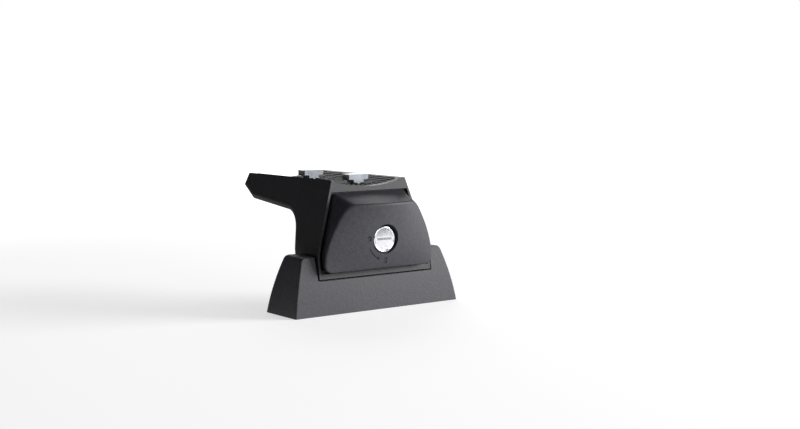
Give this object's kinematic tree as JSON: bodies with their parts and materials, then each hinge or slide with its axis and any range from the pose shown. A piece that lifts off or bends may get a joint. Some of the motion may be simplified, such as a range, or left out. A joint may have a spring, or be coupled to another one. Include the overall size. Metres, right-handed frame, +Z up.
{
  "type": "roof bar foot",
  "caption": "Track-mount roof bar foot: cast inverted-L leg with a cradle seat, clamp bolts, moulded skirt and a pull-off cover with a key lock.",
  "frame": {"origin": "middle of the base, on the surface that the foot stands on", "axes": "+X along the track, +Y inboard under the bar, -Y the side with the lock cover, +Z up"},
  "size_m": [0.131, 0.1302, 0.0878],
  "materials": {
    "cast_black": "fine textured black powder coat on cast aluminium",
    "skirt_black": "finely grained black moulded plastic",
    "cover_black": "finely grained black moulded plastic",
    "rubber_black": "moulded black rubber",
    "steel_zinc": "bright zinc plated steel",
    "zinc_barrel": "die-cast zinc, as cast",
    "chrome_face": "polished chrome",
    "brass_core": "machined brass"
  },
  "bodies": {
    "leg": {"leg_casting": "cast_black", "base_skirt": "skirt_black", "base_plate": "steel_zinc", "base_gasket": "rubber_black", "base_screw_left": "steel_zinc", "base_screw_right": "steel_zinc", "skirt_screw_left": "steel_zinc", "skirt_screw_right": "steel_zinc", "seat_pad": "rubber_black", "clamp_bolt_front": "steel_zinc", "clamp_bolt_rear": "steel_zinc", "clamp_washer_front": "steel_zinc", "clamp_washer_rear": "steel_zinc", "clamp_lock_washer_front": "steel_zinc", "clamp_lock_washer_rear": "steel_zinc", "clamp_nut_front": "steel_zinc", "clamp_nut_rear": "steel_zinc", "catch_plate": "steel_zinc", "catch_screw_left": "steel_zinc", "catch_screw_right": "steel_zinc"},
    "cover": {"cover_shell": "cover_black", "cover_bumper_left": "rubber_black", "cover_bumper_right": "rubber_black", "lock_housing": "zinc_barrel", "lock_clip": "steel_zinc", "lock_seal": "rubber_black"},
    "lock_core": {"lock_face": "chrome_face", "lock_plug": "brass_core", "lock_wafer_1": "brass_core", "lock_wafer_2": "brass_core", "lock_wafer_3": "brass_core", "lock_wafer_4": "brass_core", "lock_wafer_5": "brass_core", "lock_cam": "steel_zinc", "cam_washer": "steel_zinc", "cam_screw": "steel_zinc"}
  },
  "joints": [
    {"name": "cover_pull", "type": "slide", "parent": "leg", "child": "cover", "axis": [0, -1, 0], "range_m": [0, 0.07]},
    {"name": "lock_turn", "type": "hinge", "parent": "cover", "child": "lock_core", "pos_m": [0, 0, 0.0469], "axis": [0, 1, 0], "range_deg": [0, 90]}
  ]
}
